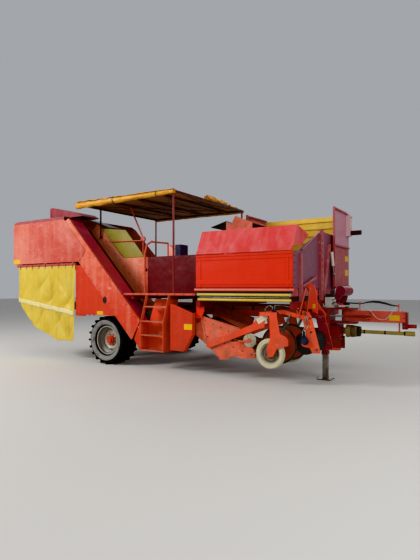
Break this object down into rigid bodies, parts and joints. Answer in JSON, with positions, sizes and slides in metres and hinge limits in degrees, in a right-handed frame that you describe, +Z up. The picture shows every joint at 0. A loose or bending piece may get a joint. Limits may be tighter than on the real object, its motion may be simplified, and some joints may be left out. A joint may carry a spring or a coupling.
{
  "type": "trailed potato harvester",
  "caption": "Trailed potato harvester with a side digging unit, a steep rod-web elevator, a roofed picking platform and a bunker, parked on its jack with the drawbar unhitched",
  "frame": {"origin": "centre of the bounding box on the ground", "axes": "X forward towards the hitch, Y to the machine's left, Z up"},
  "size_m": [8.94, 3, 3.586],
  "materials": {
    "red paint": "satin",
    "faded red paint": "matte",
    "dark red paint": "satin",
    "yellow paint": "satin",
    "bare steel": "satin",
    "black rubber": "matte",
    "tyre rubber": "matte",
    "cream paint": "satin",
    "yellow fabric": "matte",
    "olive fabric": "matte",
    "brown roof sheet": "matte",
    "grey paint": "satin",
    "red lens": "gloss",
    "black plastic": "matte",
    "grey cord": "matte",
    "white cable": "matte"
  },
  "bodies": {
    "chassis": {"main_frame": "dark red paint", "drawbar_head": "dark red paint", "axle_beam": "dark red paint", "rear_hood": "faded red paint", "hood_riser": "dark red paint", "elevator_wall_right": "faded red paint", "elevator_wall_left": "faded red paint", "elevator_web": "black rubber", "cross_web": "black rubber", "side_apron": "red paint", "rear_curtain": "yellow fabric", "elevator_sheet": "olive fabric", "second_web": "black rubber", "picking_table": "dark red paint", "picking_belt": "black rubber", "platforms": "dark red paint", "ladders": "red paint", "step_boxes": "red paint", "handrails": "faded red paint", "canopy_frame": "faded red paint", "canopy_roof": "brown roof sheet", "canopy_tarp": "yellow fabric", "side_cover": "red paint", "bunker_walls": "red paint", "bunker_floor": "yellow paint", "bunker_posts": "dark red paint", "fill_chute": "faded red paint", "fill_rubber": "black rubber", "front_bracket": "red paint", "gearbox": "dark red paint", "jack_tube": "dark red paint", "valve_block": "grey paint", "mudguards": "black rubber", "rear_lamps": "red lens"},
    "jack": {"jack_leg": "bare steel"},
    "flap": {"bunker_flap": "red paint"},
    "discharge": {"discharge_walls": "dark red paint", "discharge_floor": "yellow paint"},
    "wheel_right": {"tyre_right": "tyre rubber", "rim_right": "cream paint", "hub_right": "red paint"},
    "wheel_left": {"tyre_left": "tyre rubber", "rim_left": "cream paint", "hub_left": "red paint"},
    "drawbar": {"drawbar_beam": "red paint", "hitch_eye": "dark red paint", "drive_shaft": "black plastic", "hose_black": "black rubber", "hose_grey": "grey cord", "cable": "white cable"},
    "steer_barrel_body": {"steer_barrel": "dark red paint"},
    "steer_rod_body": {"steer_rod": "bare steel"},
    "digger": {"digger_frame": "red paint", "digging_web": "black rubber", "digger_arms": "red paint"},
    "coulter_right_body": {"coulter_right": "bare steel"},
    "coulter_left_body": {"coulter_left": "bare steel"},
    "infeed_right_body": {"infeed_right": "cream paint"},
    "infeed_left_body": {"infeed_left": "cream paint"},
    "ridge_roller_body": {"ridge_roller": "black plastic"}
  },
  "joints": [
    {"name": "jack_slide", "type": "slide", "parent": "chassis", "child": "jack", "axis": [0, 0, 1], "range_m": [0, 0.3]},
    {"name": "flap_hinge", "type": "hinge", "parent": "chassis", "child": "flap", "pos_m": [1.9, -1.476, 2.23], "axis": [1, 0, 0], "range_deg": [0, 30]},
    {"name": "discharge_hinge", "type": "hinge", "parent": "chassis", "child": "discharge", "pos_m": [1.95, 1.4, 1.56], "axis": [-1, 0, 0], "range_deg": [0, 95]},
    {"name": "wheel_right_spin", "type": "hinge", "parent": "chassis", "child": "wheel_right", "pos_m": [-1.35, -1.22, 0.51], "axis": [0, 1, 0], "continuous": true},
    {"name": "wheel_left_spin", "type": "hinge", "parent": "chassis", "child": "wheel_left", "pos_m": [-1.35, 1.22, 0.51], "axis": [0, 1, 0], "continuous": true},
    {"name": "drawbar_swing", "type": "hinge", "parent": "chassis", "child": "drawbar", "pos_m": [3.3, 0, 1.11], "axis": [0, 0, 1], "range_deg": [-15, 15]},
    {"name": "steer_barrel_swing", "type": "hinge", "parent": "drawbar", "child": "steer_barrel_body", "pos_m": [3.71, -0.15, 1.11], "axis": [0, 0, 1], "range_deg": [-9, 9]},
    {"name": "steer_rod_slide", "type": "slide", "parent": "steer_barrel_body", "child": "steer_rod_body", "axis": [-0.9727, -0.2322, 0], "range_m": [-0.075, 0.075]},
    {"name": "digger_lift", "type": "hinge", "parent": "chassis", "child": "digger", "pos_m": [0.95, -1, 1], "axis": [0, 1, 0], "range_deg": [0, 10]},
    {"name": "coulter_right_spin", "type": "hinge", "parent": "digger", "child": "coulter_right_body", "pos_m": [2.5, -1.21, 0.65], "axis": [0, 1, 0], "continuous": true},
    {"name": "coulter_left_spin", "type": "hinge", "parent": "digger", "child": "coulter_left_body", "pos_m": [2.5, -0.71, 0.65], "axis": [0, 1, 0], "continuous": true},
    {"name": "infeed_right_spin", "type": "hinge", "parent": "digger", "child": "infeed_right_body", "pos_m": [2.43, -1.4, 0.515], "axis": [0, 1, 0], "continuous": true},
    {"name": "infeed_left_spin", "type": "hinge", "parent": "digger", "child": "infeed_left_body", "pos_m": [2.43, -0.56, 0.515], "axis": [0, 1, 0], "continuous": true},
    {"name": "ridge_roller_spin", "type": "hinge", "parent": "digger", "child": "ridge_roller_body", "pos_m": [2.96, -0.96, 0.7], "axis": [0, 1, 0], "continuous": true}
  ],
  "couplings": [
    {"joint": "steer_barrel_swing", "follows": "drawbar_swing", "ratio": -0.5435},
    {"joint": "steer_rod_slide", "follows": "drawbar_swing", "m_per_rad": 0.2407}
  ]
}
